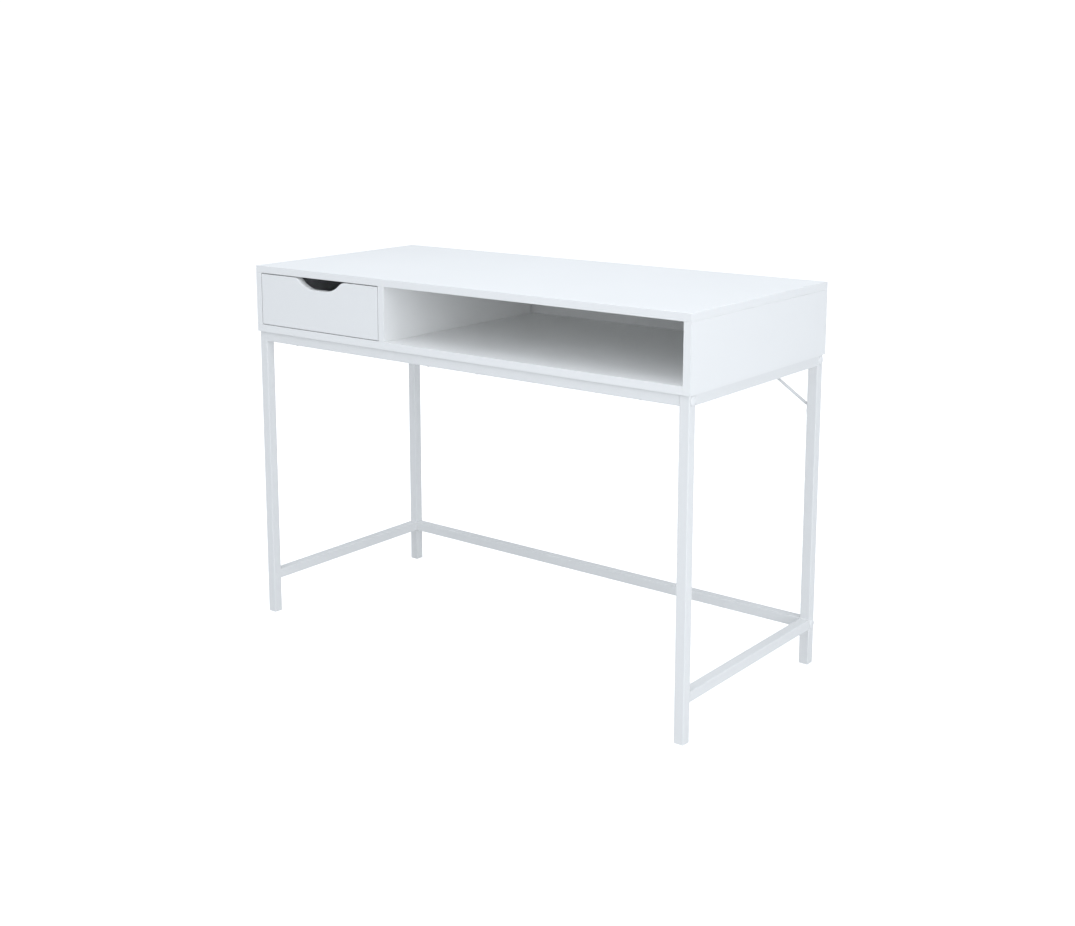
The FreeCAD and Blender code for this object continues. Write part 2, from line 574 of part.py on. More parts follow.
def build_runners():
    """Cabinet channel and drawer section with their rollers for the left side, then both mirrored."""
    wall = -SIDE_INNER
    base = DRAWER_BASE
    inside = RUNNER_HEIGHT - SHEET
    lip = 10.5
    channel_start = DRAWER_BOX_FRONT + 2.0
    front_cutaway = 26.0
    channel = sheet_profile(
        [
            (0, 0),
            (lip, 0),
            (lip, 2.5),
            (lip - SHEET, 2.5),
            (lip - SHEET, SHEET),
            (SHEET, SHEET),
            (SHEET, inside),
            (8.5, inside),
            (8.5, RUNNER_HEIGHT),
            (0, RUNNER_HEIGHT),
        ],
        DRAWER_LENGTH,
        Vector(wall, channel_start, base),
    )
    cutaway = block(
        wall + SHEET, wall + 9.0, channel_start, channel_start + front_cutaway, base + inside - 0.5, base + 20.0
    )
    channel = channel.cut(cutaway)

    drawer_face = wall + RUNNER_GAP
    shelf = 19.5
    section = sheet_profile(
        [
            (11.0, -SHEET),
            (11.0, 0),
            (0, 0),
            (0, shelf + SHEET),
            (-8.5, shelf + SHEET),
            (-8.5, shelf),
            (-SHEET, shelf),
            (-SHEET, -SHEET),
        ],
        DRAWER_LENGTH - 1.0,
        Vector(drawer_face, DRAWER_BOX_FRONT + 0.5, base),
    )

    cabinet_axle = Vector(wall, channel_start + 13.0, base + 11.15)
    drawer_axle = Vector(drawer_face, DRAWER_BOX_BACK - 11.0, base + SHEET + 0.35 + ROLLER_RADIUS)
    cabinet_pin = rivet_pin(9.9).translated(cabinet_axle)
    drawer_pin = placed(rivet_pin(10.1), drawer_axle, -X_AXIS, Z_AXIS)
    cabinet_roller = roller().translated(cabinet_axle + X_AXIS * 3.4)
    drawer_roller = roller().translated(Vector(wall + 3.3, drawer_axle.y, drawer_axle.z))
    channel = channel.cut(rod(2.0, SHEET + 1.0, cabinet_axle - X_AXIS * 0.5, X_AXIS))
    section = section.cut(rod(2.0, SHEET + 1.0, drawer_axle + X_AXIS * 0.5, -X_AXIS))

    middle_plane = Vector(DRAWER_CENTRE_X, 0, 0)
    pairs = (("left_runner", "right_runner", channel), ("drawer_left_runner", "drawer_right_runner", section))
    fixings = (
        ("runner_screws", wall, X_AXIS, 9.55, (40.0, 170.0, 310.0), channel_start, 11.0),
        ("drawer_runner_screws", drawer_face, -X_AXIS, 6.5, (30.0, 170.0, 305.0), DRAWER_BOX_FRONT, 9.0),
    )
    boards = (("left_side_panel", "divider_panel"), ("drawer_left_side", "drawer_right_side"))
    for (left, right, shape), (node, face_x, outward, height, places, origin, length), (board, far_board) in zip(
        pairs, fixings, boards
    ):
        for place in places:
            seat = Vector(face_x, origin + place, base + height) + outward * SHEET
            fastener = placed(runner_screw(length), seat, Y_AXIS, outward)
            hole = rod(1.7 + HOLE_PLAY, length + 0.5, seat + outward * 0.2, -outward)
            shape = shape.cut(hole)
            cut_later(board, hole)
            cut_later(far_board, hole.mirror(middle_plane, X_AXIS))
            add_to_group(node, fastener)
            add_to_group(node, fastener.mirror(middle_plane, X_AXIS))
        solids[left] = shape
        solids[right] = shape.mirror(middle_plane, X_AXIS)
    for node, pin in (("runner_axles", cabinet_pin), ("drawer_runner_axles", drawer_pin)):
        add_to_group(node, pin)
        add_to_group(node, pin.mirror(middle_plane, X_AXIS))
    for node, wheel in (("cabinet_roller", cabinet_roller), ("drawer_roller", drawer_roller)):
        solids[f"left_{node}"] = wheel
        solids[f"right_{node}"] = wheel.mirror(middle_plane, X_AXIS)


def write_parts():
    """Make every hole and write each node."""
    os.makedirs("parts", exist_ok=True)
    for node, shape in solids.items():
        if node in cutters:
            shape = shape.cut(cutters[node])
        save(node, shape)
    for node, members in groups.items():
        save(node, Part.makeCompound(members))


build_cabinet()
build_frame()
build_brace()
build_drawer()
build_runners()
write_parts()
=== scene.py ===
"""Looks of the writing desk: its finishes, its finer pieces, a plain studio and the camera.

Row frame, in metres: X runs from the drawer end (-) to the open end (+), Y from the sitter (-) to the wall
(+), Z up. The origin is on the floor, under the middle of the worktop.
"""

import logging
import math
from collections.abc import Callable, Iterable
from dataclasses import dataclass, field
from enum import Enum
from typing import Any

import bmesh
import bpy
from bmesh.types import BMesh, BMVert
from bpy.types import Material, Node, NodeSocket, NodeTree, Object
from mathutils import Matrix, Vector


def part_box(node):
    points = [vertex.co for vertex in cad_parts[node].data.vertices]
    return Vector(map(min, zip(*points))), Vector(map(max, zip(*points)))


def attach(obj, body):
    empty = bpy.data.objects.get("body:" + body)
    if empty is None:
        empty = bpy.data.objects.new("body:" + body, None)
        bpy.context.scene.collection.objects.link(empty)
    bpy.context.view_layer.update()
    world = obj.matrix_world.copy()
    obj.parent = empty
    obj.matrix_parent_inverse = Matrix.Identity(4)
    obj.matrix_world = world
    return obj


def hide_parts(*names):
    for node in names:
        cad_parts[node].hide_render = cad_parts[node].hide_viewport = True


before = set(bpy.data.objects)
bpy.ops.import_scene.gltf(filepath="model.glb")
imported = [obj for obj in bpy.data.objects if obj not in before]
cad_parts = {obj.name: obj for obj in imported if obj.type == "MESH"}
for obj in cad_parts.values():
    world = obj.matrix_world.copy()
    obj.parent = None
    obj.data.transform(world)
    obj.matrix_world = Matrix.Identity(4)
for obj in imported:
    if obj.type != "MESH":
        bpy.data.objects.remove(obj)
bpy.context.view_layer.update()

LOG = logging.getLogger("writing_desk")
Triple = tuple[float, float, float]
Colour = tuple[float, float, float, float]
Sockets = dict[str, NodeSocket]
Skin = tuple[NodeSocket, NodeSocket, NodeSocket]
MM = 0.001
SAME = 1e-6
DUST_COLOUR: Colour = (0.62, 0.6, 0.57, 1.0)
X_AXIS = Vector((1.0, 0.0, 0.0))
Y_AXIS = Vector((0.0, 1.0, 0.0))
Z_AXIS = Vector((0.0, 0.0, 1.0))
QUARTER_TURN = Matrix.Rotation(math.radians(90.0), 4, "Y")


class Body(Enum):
    """Bodies that the finer pieces ride on."""

    DESK = "desk"
    DRAWER = "drawer"


class SocketKind(Enum):
    """Kinds of socket that the shared effects have."""

    NUMBER = "NodeSocketFloat"
    VECTOR = "NodeSocketVector"


class Graph:
    """Short ways to add nodes to one node tree and to join them."""

    def __init__(self, tree: NodeTree) -> None:
        """Start from an empty tree."""
        self.tree = tree
        self.tree.nodes.clear()

    def add(self, kind: str, inputs: dict[Any, Any] | None = None, **settings: Any) -> Node:
        """Add one node.

        Args:
            kind: Blender's name for the node type.
            inputs: values or sockets for its inputs, by name or number.
            **settings: properties of the node, set before its inputs.

        Returns:
            The new node.
        """
        node = self.tree.nodes.new(kind)
        node.location = (190 * len(self.tree.nodes), 0)
        for name, value in settings.items():
            setattr(node, name, value)
        for name, value in (inputs or {}).items():
            self.feed(node.inputs[name], value)
        return node

    def feed(self, socket: NodeSocket, value: Any) -> None:
        """Link a socket into an input, or set the input's own value.

        Args:
            socket: the input.
            value: a node socket to link, or a plain value.
        """
        if isinstance(value, NodeSocket):
            self.tree.links.new(value, socket)
        else:
            socket.default_value = value

    def math(self, operation: str, first: Any, second: Any = 0.0, clamp: bool = False) -> NodeSocket:
        """Result of a Math node on two values or sockets."""
        node = self.add("ShaderNodeMath", {0: first, 1: second}, operation=operation, use_clamp=clamp)
        return node.outputs[0]

    def vector(self, operation: str, first: Any, second: Any = (0.0, 0.0, 0.0)) -> NodeSocket:
        """Result of a Vector Math node on two vectors or sockets."""
        return self.add("ShaderNodeVectorMath", {0: first, 1: second}, operation=operation).outputs[0]

    def split(self, vector: NodeSocket) -> tuple[NodeSocket, NodeSocket, NodeSocket]:
        """X, Y and Z of a vector socket."""
        node = self.add("ShaderNodeSeparateXYZ", {0: vector})
        return node.outputs[0], node.outputs[1], node.outputs[2]

    def noise(self, place: NodeSocket, scale: Any, detail: float, roughness: float = 0.5) -> NodeSocket:
        """Value of a Noise Texture.

        Args:
            place: coordinates that it is read at.
            scale: a number or a socket.
            detail: how many finer layers it has.
            roughness: how strong those layers are.

        Returns:
            Its value socket, from 0 to 1.
        """
        inputs = {"Vector": place, "Scale": scale, "Detail": detail, "Roughness": roughness}
        return self.add("ShaderNodeTexNoise", inputs).outputs[0]

    def spread(self, value: NodeSocket, low: Any, high: Any) -> NodeSocket:
        """A value from 0 to 1 spread between two others."""
        return self.add("ShaderNodeMapRange", {"Value": value, "To Min": low, "To Max": high}).outputs[0]

    def blend(self, share: Any, first: Any, second: Any, how: str = "MIX") -> NodeSocket:
        """Mix of two colours by a share from 0 to 1."""
        inputs = {0: share, 6: first, 7: second}
        return self.add("ShaderNodeMix", inputs, data_type="RGBA", blend_type=how).outputs[2]

    def shade(self, colour: Any, tone: NodeSocket) -> NodeSocket:
        """Colour made lighter or darker by a tone near 1."""
        grey = self.add("ShaderNodeCombineColor", {0: tone, 1: tone, 2: tone}).outputs[0]
        return self.blend(1.0, colour, grey, "MULTIPLY")

    def use(self, group: NodeTree, **inputs: Any) -> Node:
        """Add a shared effect, with its inputs fed by name."""
        return self.add("ShaderNodeGroup", inputs, node_tree=group)


@dataclass
class Effects:
    """Node groups that several finishes share, each made the first time that it is asked for."""

    made: dict[str, NodeTree] = field(default_factory=dict)

    def group(
        self,
        name: str,
        vectors: tuple[str, ...],
        numbers: tuple[str, ...],
        outputs: tuple[str, ...],
        fill: Callable[[Graph, Sockets], Sockets],
    ) -> NodeTree:
        """Make a group, or find it if it is there already.

        Args:
            name: the group's name.
            vectors: its input sockets that are vectors.
            numbers: its input sockets that are numbers.
            outputs: its output sockets, which are all numbers.
            fill: makes the nodes inside from the input sockets, and gives a socket for each output.

        Returns:
            The group's node tree.
        """
        if name in self.made:
            return self.made[name]
        tree = bpy.data.node_groups.new(name, "ShaderNodeTree")
        inputs = dict.fromkeys(vectors, SocketKind.VECTOR) | dict.fromkeys(numbers, SocketKind.NUMBER)
        for label, kind in inputs.items():
            tree.interface.new_socket(name=label, in_out="INPUT", socket_type=kind.value)
        for label in outputs:
            tree.interface.new_socket(name=label, in_out="OUTPUT", socket_type=SocketKind.NUMBER.value)
        graph = Graph(tree)
        entry = graph.add("NodeGroupInput")
        results = fill(graph, {label: entry.outputs[label] for label in inputs})
        graph.add("NodeGroupOutput", results)
        self.made[name] = tree
        return tree

    def rounded_edges(self) -> NodeTree:
        """Mask of rounded edges, where the normal leans away from the piece's own axes."""

        def fill(graph: Graph, into: Sockets) -> Sockets:
            x, y, z = graph.split(graph.vector("ABSOLUTE", into["Normal"]))
            straight = graph.math("MAXIMUM", graph.math("MAXIMUM", x, y), z)
            leaning = graph.math("MULTIPLY", graph.math("SUBTRACT", 1.0, straight), 3.4, clamp=True)
            patches = graph.noise(into["Position"], 180.0, 3.0, 0.6)
            kept = graph.math("SUBTRACT", 1.0, graph.math("MULTIPLY", patches, into["Breakup"]))
            return {"Mask": graph.math("MULTIPLY", leaning, kept, clamp=True)}

        return self.group("rounded_edges", ("Normal", "Position"), ("Breakup",), ("Mask",), fill)

    def cloud(self) -> NodeTree:
        """Slow change of tone and gloss across a surface."""

        def fill(graph: Graph, into: Sockets) -> Sockets:
            scale = graph.math("DIVIDE", 1.0, into["Size"])
            patch = graph.noise(into["Position"], scale, 4.0, 0.55)
            swing = graph.math("MULTIPLY", graph.math("SUBTRACT", patch, 0.5), into["Strength"])
            return {"Tone": graph.math("ADD", 1.0, swing), "Patch": patch}

        return self.group("cloud", ("Position",), ("Size", "Strength"), ("Tone", "Patch"), fill)

    def fine_skin(self) -> NodeTree:
        """Fine relief of a coat, a foil or a mould: soft dimples mixed with a crisper grain."""

        def fill(graph: Graph, into: Sockets) -> Sockets:
            scale = graph.math("DIVIDE", 1.0, into["Size"])
            dimples = graph.add(
                "ShaderNodeTexVoronoi", {"Vector": into["Position"], "Scale": scale}, feature="SMOOTH_F1"
            ).outputs["Distance"]
            grain = graph.noise(into["Position"], graph.math("MULTIPLY", scale, 1.7), 2.0, 0.5)
            crisp = graph.math("MULTIPLY", grain, into["Crispness"])
            soft = graph.math("MULTIPLY", dimples, graph.math("SUBTRACT", 1.0, into["Crispness"]))
            return {"Height": graph.math("ADD", soft, crisp)}

        return self.group("fine_skin", ("Position",), ("Size", "Crispness"), ("Height",), fill)

    def settled_dust(self) -> NodeTree:
        """Thin uneven dust on faces that look up."""

        def fill(graph: Graph, into: Sockets) -> Sockets:
            up = graph.math("POWER", graph.math("MAXIMUM", graph.split(into["Normal"])[2], 0.0), 3.0)
            specks = graph.noise(into["Position"], 900.0, 2.0, 0.7)
            drifts = graph.noise(into["Position"], 14.0, 3.0, 0.6)
            film = graph.math("MULTIPLY", graph.math("MULTIPLY", specks, drifts), into["Amount"])
            return {"Mask": graph.math("MULTIPLY", up, film, clamp=True)}

        return self.group("settled_dust", ("Normal", "Position"), ("Amount",), ("Mask",), fill)

    def streaks(self) -> NodeTree:
        """Long fine lines, for drawn metal and for wood fibres."""

        def fill(graph: Graph, into: Sockets) -> Sockets:
            stretched = graph.vector("MULTIPLY", into["Position"], into["Fineness"])
            broad = graph.noise(stretched, 1.0, 4.0, 0.6)
            fine = graph.noise(stretched, 6.0, 2.0, 0.7)
            mostly = graph.math("MULTIPLY", broad, 0.65)
            partly = graph.math("MULTIPLY", fine, 0.35)
            return {"Height": graph.math("ADD", mostly, partly)}

        return self.group("streaks", ("Position", "Fineness"), (), ("Height",), fill)

    def band_seam(self) -> NodeTree:
        """Hairline where a glued edge band meets a board's face, at the same depth front and back."""

        def fill(graph: Graph, into: Sockets) -> Sockets:
            depth = graph.math("ABSOLUTE", graph.split(into["Position"])[1])
            away = graph.math("ABSOLUTE", graph.math("SUBTRACT", depth, into["Depth"]))
            near = graph.math("SUBTRACT", 1.0, graph.math("DIVIDE", away, into["Width"]), clamp=True)
            return {"Mask": near}

        return self.group("band_seam", ("Position",), ("Depth", "Width"), ("Mask",), fill)


@dataclass(frozen=True)
class Canvas:
    """A material being made, and what its layers are drawn with."""

    graph: Graph
    effects: Effects
    position: NodeSocket
    cloud: Node


@dataclass(frozen=True)
class Finish:
    """A finish: its slot in the record, its colour and the grain of its skin."""

    name: str
    slot: str
    colour: Colour
    # Colour blended onto rounded edges: worn coat on most finishes, painted shade that dulls the edge
    # highlight on the white board, edge band and powder coat.
    wear_and_shade_colour: Colour
    roughness: float
    gloss_swing: float
    skin_size: float
    skin_depth: float
    crispness: float = 0.4
    cloud_size: float = 0.12
    cloud_strength: float = 0.02
    # How strongly the rounded-edge colour is blended in: wear, and on the white board, edge band and powder
    # coat also painted shade.
    wear_and_shade_amount: float = 0.5
    dust: float = 0.0
    metal: float = 0.0

    def material(self, effects: Effects) -> Material:
        """Make the finish's material.

        Args:
            effects: the shared node groups.

        Returns:
            The material.
        """
        material = bpy.data.materials.new(self.name)
        material.use_nodes = True
        graph = Graph(material.node_tree)
        place = graph.add("ShaderNodeTexCoord")
        position, normal = place.outputs["Object"], place.outputs["Normal"]
        cloud = graph.use(
            effects.cloud(), Position=position, Size=self.cloud_size, Strength=self.cloud_strength
        )
        edges = graph.use(effects.rounded_edges(), Normal=normal, Position=position, Breakup=0.6)
        # Rounded-edge mask for the edge colour: wear on some finishes, painted shade over the edge
        # highlight on the white board, edge band and powder coat.
        worn_and_shaded = graph.math("MULTIPLY", edges.outputs["Mask"], self.wear_and_shade_amount)
        colour, roughness, height = self.surface(Canvas(graph, effects, position, cloud))
        colour = graph.blend(worn_and_shaded, colour, self.wear_and_shade_colour)
        if self.dust:
            film = graph.use(effects.settled_dust(), Normal=normal, Position=position, Amount=self.dust)
            dust = film.outputs["Mask"]
            colour = graph.blend(dust, colour, DUST_COLOUR)
            roughness = graph.math("ADD", roughness, graph.math("MULTIPLY", dust, 0.3))
        roughness = graph.math("SUBTRACT", roughness, graph.math("MULTIPLY", worn_and_shaded, 0.08))
        bump = {"Height": height, "Strength": 1.0, "Distance": self.skin_depth}
        relief = graph.add("ShaderNodeBump", bump)
        shader = graph.add(
            "ShaderNodeBsdfPrincipled",
            {
                "Base Color": colour,
                "Roughness": roughness,
                "Metallic": self.metal,
                "Normal": relief.outputs["Normal"],
            },
        )
        graph.add("ShaderNodeOutputMaterial", {"Surface": shader.outputs["BSDF"]})
        return material

    def surface(self, canvas: Canvas) -> Skin:
        """Make the finish's own colour, roughness and relief, before edges and dust.

        Args:
            canvas: the material being made.

        Returns:
            Sockets for colour, roughness and height.
        """
        graph, tones = canvas.graph, canvas.cloud.outputs
        colour = graph.shade(self.colour, tones["Tone"])
        low, high = self.roughness - self.gloss_swing, self.roughness + self.gloss_swing
        roughness = graph.spread(tones["Patch"], low, high)
        skin = graph.use(
            canvas.effects.fine_skin(),
            Position=canvas.position,
            Size=self.skin_size,
            Crispness=self.crispness,
        )
        return colour, roughness, skin.outputs["Height"]


@dataclass(frozen=True)
class BandedBoard(Finish):
    """Faced board whose edge bands show as a hairline beside the front and back edges."""

    band_depth: float = 0.239
    band_line: float = 0.00009
    seam_colour: Colour = (0.5, 0.5, 0.5, 1.0)

    def surface(self, canvas: Canvas) -> Skin:
        """Plain skin with the bands' hairlines drawn and sunk into it.

        Args:
            canvas: the material being made.

        Returns:
            Sockets for colour, roughness and height.
        """
        colour, roughness, height = super().surface(canvas)
        graph, seams = canvas.graph, canvas.effects.band_seam()
        line = graph.use(seams, Position=canvas.position, Depth=self.band_depth, Width=self.band_line)
        seam = line.outputs["Mask"]
        colour = graph.blend(seam, colour, self.seam_colour)
        height = graph.math("SUBTRACT", height, seam)
        return colour, roughness, height


@dataclass(frozen=True)
class LacqueredHardboard(Finish):
    """Thin fibreboard: smooth lacquer above, bare brown fibres below."""

    parting_height: float = 0.0
    bare_colour: Colour = (0.36, 0.24, 0.14, 1.0)
    fibres: Triple = (420.0, 130.0, 420.0)

    def surface(self, canvas: Canvas) -> Skin:
        """Lacquer over the parting height and fibres under it.

        Args:
            canvas: the material being made.

        Returns:
            Sockets for colour, roughness and height.
        """
        colour, roughness, height = super().surface(canvas)
        graph, streaks = canvas.graph, canvas.effects.streaks()
        fibres = graph.use(streaks, Position=canvas.position, Fineness=self.fibres).outputs["Height"]
        bare = graph.math("LESS_THAN", graph.split(canvas.position)[2], self.parting_height)
        brown = graph.shade(self.bare_colour, graph.spread(fibres, 0.7, 1.3))
        colour = graph.blend(bare, colour, brown)
        roughness = graph.math("ADD", roughness, graph.math("MULTIPLY", bare, 0.35))
        nap = graph.math("MULTIPLY", graph.math("MULTIPLY", bare, fibres), 4.0)
        return colour, roughness, graph.math("ADD", height, nap)


@dataclass(frozen=True)
class Grained(Finish):
    """Wood or metal whose tone and relief follow long fine lines."""

    fineness: Triple = (300.0, 300.0, 30.0)
    line_contrast: float = 0.2

    def surface(self, canvas: Canvas) -> Skin:
        """Skin whose tone and relief follow the lines.

        Args:
            canvas: the material being made.

        Returns:
            Sockets for colour, roughness and height.
        """
        colour, roughness, skin = super().surface(canvas)
        graph, streaks = canvas.graph, canvas.effects.streaks()
        lines = graph.use(streaks, Position=canvas.position, Fineness=self.fineness).outputs["Height"]
        low, high = 1.0 - self.line_contrast, 1.0 + self.line_contrast
        colour = graph.shade(colour, graph.spread(lines, low, high))
        roughness = graph.math("ADD", roughness, graph.spread(lines, -0.06, 0.06))
        return colour, roughness, graph.math("ADD", skin, lines)


WHITE_BOARD = BandedBoard(
    name="white_melamine",
    slot="white_board",
    colour=(0.887, 0.887, 0.882, 1.0),
    # Darker than the board, so its rounded edges carry painted shade that dulls their highlight.
    wear_and_shade_colour=(0.85, 0.85, 0.846, 1.0),
    roughness=0.42,
    gloss_swing=0.07,
    skin_size=0.0011,
    skin_depth=0.000012,
    cloud_size=0.22,
    cloud_strength=0.025,
    wear_and_shade_amount=0.45,
    dust=0.05,
)
EDGE_BAND = Finish(
    name="white_edge_band",
    slot="white_board",
    colour=(0.882, 0.882, 0.878, 1.0),
    # Darker than the band, so its rounded edges carry painted shade that dulls their highlight.
    wear_and_shade_colour=(0.85, 0.85, 0.846, 1.0),
    roughness=0.36,
    gloss_swing=0.05,
    skin_size=0.0008,
    skin_depth=0.000008,
    crispness=0.7,
    cloud_size=0.3,
    cloud_strength=0.02,
    wear_and_shade_amount=0.4,
)
DRAWER_FOIL = Finish(
    name="white_drawer_foil",
    slot="drawer_board",
    colour=(0.872, 0.882, 0.9, 1.0),
    wear_and_shade_colour=(0.87, 0.88, 0.895, 1.0),
    roughness=0.5,
    gloss_swing=0.06,
    skin_size=0.0009,
    skin_depth=0.000016,
    crispness=0.6,
    cloud_size=0.1,
    cloud_strength=0.04,
    dust=0.08,
)
POWDER_COAT = Finish(
    name="white_powder_coat",
    slot="white_steel",
    colour=(0.832, 0.834, 0.83, 1.0),
    # Darker than the coat, so the rounded tube corners carry painted shade that dulls their highlight.
    wear_and_shade_colour=(0.79, 0.792, 0.79, 1.0),
    roughness=0.38,
    gloss_swing=0.06,
    skin_size=0.0019,
    skin_depth=0.00003,
    crispness=0.25,
    cloud_size=0.16,
    cloud_strength=0.025,
    wear_and_shade_amount=0.35,
    dust=0.05,
)
RUNNER_COAT = Finish(
    name="white_runner_coat",
    slot="runner_steel",
    colour=(0.74, 0.75, 0.74, 1.0),
    wear_and_shade_colour=(0.6, 0.61, 0.62, 1.0),
    roughness=0.3,
    gloss_swing=0.08,
    skin_size=0.0014,
    skin_depth=0.00002,
    cloud_size=0.05,
    cloud_strength=0.06,
    wear_and_shade_amount=0.7,
)
MOULDED_PLASTIC = Finish(
    name="white_moulded_plastic",
    slot="white_plastic",
    colour=(0.86, 0.86, 0.857, 1.0),
    wear_and_shade_colour=(0.87, 0.87, 0.867, 1.0),
    roughness=0.4,
    gloss_swing=0.05,
    skin_size=0.0005,
    skin_depth=0.00001,
    crispness=0.8,
    cloud_size=0.02,
    cloud_strength=0.03,
    wear_and_shade_amount=0.25,
)
NATURAL_NYLON = Finish(
    name="natural_nylon",
    slot="nylon",
    colour=(0.7, 0.69, 0.63, 1.0),
    wear_and_shade_colour=(0.76, 0.75, 0.7, 1.0),
    roughness=0.45,
    gloss_swing=0.1,
    skin_size=0.0007,
    skin_depth=0.000018,
    cloud_size=0.008,
    cloud_strength=0.12,
    wear_and_shade_amount=0.4,
)
RAW_BEECH = Grained(
    name="raw_beech",
    slot="beech",
    colour=(0.5, 0.33, 0.19, 1.0),
    wear_and_shade_colour=(0.56, 0.4, 0.25, 1.0),
    roughness=0.7,
    gloss_swing=0.08,
    skin_size=0.0006,
    skin_depth=0.00006,
    cloud_size=0.02,
    cloud_strength=0.15,
    fineness=(900.0, 900.0, 90.0),
    line_contrast=0.3,
)
CAST_ZINC = Grained(
    name="cast_zinc",
    slot="zinc",
    colour=(0.42, 0.425, 0.44, 1.0),
    wear_and_shade_colour=(0.6, 0.6, 0.61, 1.0),
    roughness=0.46,
    gloss_swing=0.12,
    skin_size=0.0006,
    skin_depth=0.00005,
    crispness=0.7,
    cloud_size=0.006,
    cloud_strength=0.3,
    wear_and_shade_amount=0.8,
    fineness=(500.0, 500.0, 500.0),
    line_contrast=0.12,
    metal=0.9,
)
PLATED_STEEL = Grained(
    name="zinc_plated_steel",
    slot="plated_steel",
    colour=(0.56, 0.57, 0.59, 1.0),
    wear_and_shade_colour=(0.72, 0.72, 0.73, 1.0),
    roughness=0.28,
    gloss_swing=0.08,
    skin_size=0.0009,
    skin_depth=0.00002,
    cloud_size=0.008,
    cloud_strength=0.2,
    wear_and_shade_amount=0.8,
    fineness=(1600.0, 1600.0, 200.0),
    line_contrast=0.08,
    metal=1.0,
)


@dataclass
class PaintShop:
    """Makes each finish once, and puts it on CAD nodes and on finer pieces."""

    effects: Effects = field(default_factory=Effects)
    mixed: dict[str, Material] = field(default_factory=dict)

    def mix(self, finish: Finish) -> Material:
        """The finish's material, made on first use."""
        if finish.name not in self.mixed:
            self.mixed[finish.name] = finish.material(self.effects)
        return self.mixed[finish.name]

    def dress(self, nodes: Iterable[str], finish: Finish) -> None:
        """Put a finish on CAD nodes.

        Args:
            nodes: the nodes' names.
            finish: what they get.
        """
        for name in nodes:
            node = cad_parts[name]
            node.data.materials.clear()
            node.data.materials.append(self.mix(finish))
            LOG.info("dressed %s in %s", name, finish.name)

    def piece(
        self,
        name: str,
        mesh: BMesh,
        body: Body,
        finish: Finish,
        replaces: Iterable[str] = (),
        crease: float = 32.0,
    ) -> Object:
        """Turn a finished bmesh into a piece of the desk.

        Args:
            name: the piece's name.
            mesh: its shape in the row frame, which is freed here.
            body: the body that it rides on.
            finish: its finish.
            replaces: CAD nodes that it stands for.
            crease: angle in degrees past which an edge between two curved faces stays sharp.

        Returns:
            The piece.
        """
        bmesh.ops.recalc_face_normals(mesh, faces=mesh.faces[:])
        for face in mesh.faces:
            face.smooth = max(abs(part) for part in face.normal) < 0.9999
        for edge in mesh.edges:
            edge.smooth = len(edge.link_faces) == 2 and edge.calc_face_angle(0.0) < math.radians(crease)
        data = bpy.data.meshes.new(name)
        mesh.to_mesh(data)
        mesh.free()
        data.materials.append(self.mix(finish))
        piece = bpy.data.objects.new(name, data)
        bpy.context.scene.collection.objects.link(piece)
        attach(piece, body.value)
        if replaces:
            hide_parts(*replaces)
        LOG.info("built %s: %d faces", name, len(data.polygons))
        return piece


def box_between(low: Vector, high: Vector) -> BMesh:
    """Block between two corners.

    Args:
        low: its lowest corner.
        high: its highest corner.

    Returns:
        A new bmesh.
    """
    mesh = bmesh.new()
    bmesh.ops.create_cube(mesh, size=1.0)
    size = high - low
    bmesh.ops.scale(mesh, verts=mesh.verts[:], vec=size)
    bmesh.ops.translate(mesh, verts=mesh.verts[:], vec=(low + high) / 2)
    return mesh


def round_off(mesh: BMesh, parts: Iterable[Any], run: float, segments: int, affect: str = "EDGES") -> None:
    """Round edges or corners of a bmesh.

    Args:
        mesh: the mesh.
        parts: its edges, or the corners of a flat outline.
        run: how far from each of them the rounding starts, in metres.
        segments: faces or edges across each rounding.
        affect: "EDGES" or "VERTICES".
    """
    bmesh.ops.bevel(
        mesh,
        geom=list(parts),
        offset=run,
        offset_type="OFFSET",
        affect=affect,
        segments=segments,
        profile=0.5,
        material=-1,
        clamp_overlap=True,
    )


def extrude(mesh: BMesh, faces: list[Any], vec: Triple) -> None:
    """Extrude faces of a bmesh along a vector.

    Args:
        mesh: the mesh.
        faces: its faces that are drawn out.
        vec: how far they go.
    """
    grown = bmesh.ops.extrude_face_region(mesh, geom=faces)
    moved = [part for part in grown["geom"] if isinstance(part, BMVert)]
    bmesh.ops.translate(mesh, verts=moved, vec=vec)


def merge(target: BMesh, extra: BMesh) -> None:
    """Move all of one bmesh into another.

    Args:
        target: what it goes into.
        extra: what is taken in and freed.
    """
    data = bpy.data.meshes.new("joined")
    extra.to_mesh(data)
    extra.free()
    target.from_mesh(data)
    bpy.data.meshes.remove(data)


def turned(points: Iterable[tuple[float, float]], steps: int) -> BMesh:
    """Shape of revolution about Z.

    Args:
        points: (radius, height) of its outline, from one end to the other.
        steps: faces around it.

    Returns:
        A new bmesh, closed where the outline starts and ends on the axis.
    """
    mesh = bmesh.new()
    outline = [mesh.verts.new((radius, 0.0, height)) for radius, height in points]
    edges = [mesh.edges.new(pair) for pair in zip(outline, outline[1:])]
    bmesh.ops.spin(
        mesh,
        geom=outline + edges,
        cent=(0.0, 0.0, 0.0),
        axis=(0.0, 0.0, 1.0),
        dvec=(0.0, 0.0, 0.0),
        angle=2 * math.pi,
        steps=steps,
        use_merge=True,
        use_duplicate=False,
    )
    bmesh.ops.remove_doubles(mesh, verts=mesh.verts[:], dist=SAME)
    return mesh


def facing(origin: Vector, direction: Vector) -> Matrix:
    """Matrix that stands a shape made about +Z on a point, along a direction."""
    return Matrix.Translation(origin) @ direction.to_track_quat("Z", "Y").to_matrix().to_4x4()


